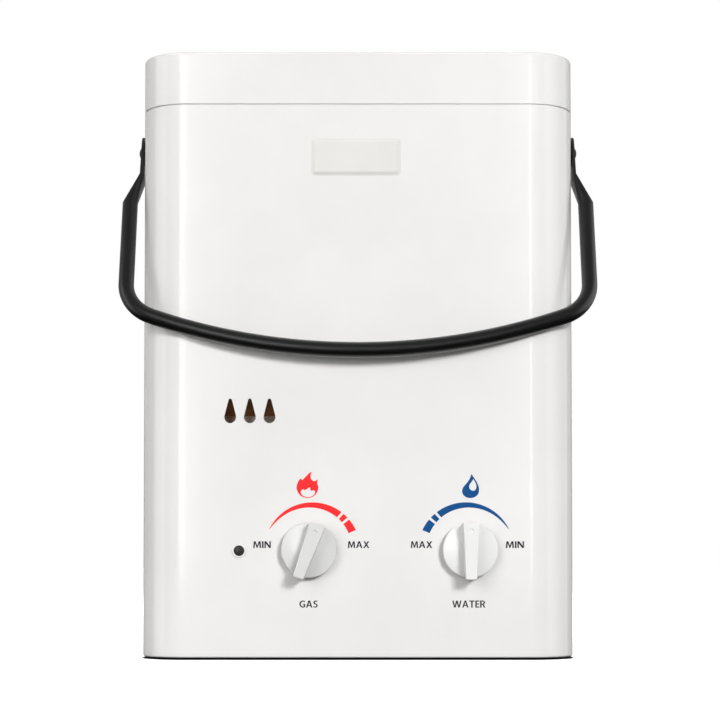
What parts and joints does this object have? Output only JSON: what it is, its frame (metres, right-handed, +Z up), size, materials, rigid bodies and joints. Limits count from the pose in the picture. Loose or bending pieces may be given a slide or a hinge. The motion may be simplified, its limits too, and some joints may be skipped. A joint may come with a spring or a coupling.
{
  "type": "portable propane water heater",
  "caption": "Portable propane water heater: upright white casing with bail handle, gas and water knobs, sight holes, and hose and gas inlets in a recessed base.",
  "frame": {"origin": "on the ground under the middle of the whole heater", "axes": "+Z up, -Y out of the front face with the knobs, +X to the right seen from the front"},
  "size_m": [0.339, 0.139, 0.426],
  "materials": {
    "white_enamel": "gloss powder coat, warm white",
    "grey_coated_steel": "light grey coated steel sheet",
    "galvanised_steel": "galvanised sheet, faint spangle",
    "zinc_plated_steel": "bright zinc plate",
    "black_zinc_steel": "black zinc plate, satin",
    "stainless_steel": "pressed stainless sheet",
    "spring_steel": "nickel-plated spring steel",
    "black_coated_steel": "gloss black powder coat on steel tube",
    "white_plastic": "moulded ABS, gloss",
    "black_plastic": "moulded, fine matte grain",
    "copper": "copper sheet and tube, slightly tarnished",
    "brass": "machined brass",
    "cast_aluminium": "die cast, matte",
    "mica": "brown mica sheet",
    "smoked_lens": "smoked lens",
    "black_rubber": "moulded rubber",
    "white_ceramic": "alumina",
    "red_silicone": "silicone lead cover",
    "cell_jacket": "plain foil jacket"
  },
  "bodies": {
    "casing": {"back_plate": "grey_coated_steel", "badge_plate": "white_plastic", "base_plate": "galvanised_steel", "batteries": "cell_jacket", "battery_box": "black_plastic", "battery_contacts": "spring_steel", "burner_bars": "stainless_steel", "burner_frame": "stainless_steel", "case_screws": "zinc_plated_steel", "chamber_coil": "copper", "chamber_shell": "copper", "cold_pipe": "copper", "diaphragm": "black_rubber", "electrode_bracket": "galvanised_steel", "electrodes": "white_ceramic", "exchanger_brackets": "galvanised_steel", "exchanger_tubes": "copper", "fin_pack": "copper", "flue_hood": "galvanised_steel", "front_cover": "white_enamel", "gas_inlet": "brass", "gas_manifold": "cast_aluminium", "gas_nozzles": "brass", "gas_pipe": "cast_aluminium", "gas_valve_body": "cast_aluminium", "handle_washers": "black_plastic", "hinge_pin": "zinc_plated_steel", "hot_pipe": "copper", "ignition_leads": "red_silicone", "ignition_module": "black_plastic", "lamp_bezel": "white_plastic", "lamp_holder": "black_plastic", "lamp_lens": "smoked_lens", "microswitch": "black_plastic", "overheat_thermostat": "zinc_plated_steel", "pipe_nuts": "brass", "pivot_nuts": "zinc_plated_steel", "pivot_screws": "black_zinc_steel", "relief_valve": "brass", "rod_spring": "spring_steel", "rubber_feet": "black_rubber", "sight_window": "mica", "sight_window_frame": "galvanised_steel", "solenoid_valve": "zinc_plated_steel", "switch_bracket": "galvanised_steel", "tilt_switch": "black_plastic", "top_cap": "white_enamel", "valve_screws": "zinc_plated_steel", "water_fittings": "brass", "water_valve_body": "brass", "water_valve_cover": "brass"},
    "handle": {"handle": "black_coated_steel"},
    "gas_control": {"gas_knob": "white_plastic", "gas_spindle": "brass"},
    "water_control": {"water_knob": "white_plastic", "water_spindle": "brass"},
    "battery_door": {"battery_door": "black_plastic", "door_contact": "spring_steel"},
    "push_rod": {"push_rod": "brass"},
    "switch_lever": {"switch_lever": "spring_steel"}
  },
  "joints": [
    {"name": "handle_swing", "type": "hinge", "parent": "casing", "child": "handle", "pos_m": [0, 0.01, 0.3658], "axis": [-1, 0, 0], "range_deg": [0, 300]},
    {"name": "gas_knob_turn", "type": "hinge", "parent": "casing", "child": "gas_control", "pos_m": [-0.034, -0.0575, 0.0763], "axis": [0, -1, 0], "range_deg": [-50, 90]},
    {"name": "water_knob_turn", "type": "hinge", "parent": "casing", "child": "water_control", "pos_m": [0.078, -0.0575, 0.0763], "axis": [0, -1, 0], "range_deg": [-70, 70]},
    {"name": "battery_door_hinge", "type": "hinge", "parent": "casing", "child": "battery_door", "pos_m": [-0.0975, -0.0215, 0.0271], "axis": [-1, 0, 0], "range_deg": [0, 95]},
    {"name": "push_rod_slide", "type": "slide", "parent": "casing", "child": "push_rod", "axis": [-1, 0, 0], "range_m": [0, 0.004], "stiffness_N_per_m": 300, "springref_m": -0.005, "deforming": ["rod_spring"]},
    {"name": "switch_lever_turn", "type": "hinge", "parent": "casing", "child": "switch_lever", "pos_m": [0.01775, -0.0055, 0.0923], "axis": [0, 1, 0], "range_deg": [0, 25]}
  ],
  "couplings": [
    {"joint": "switch_lever_turn", "follows": "push_rod_slide", "rad_per_m": 104.5}
  ]
}
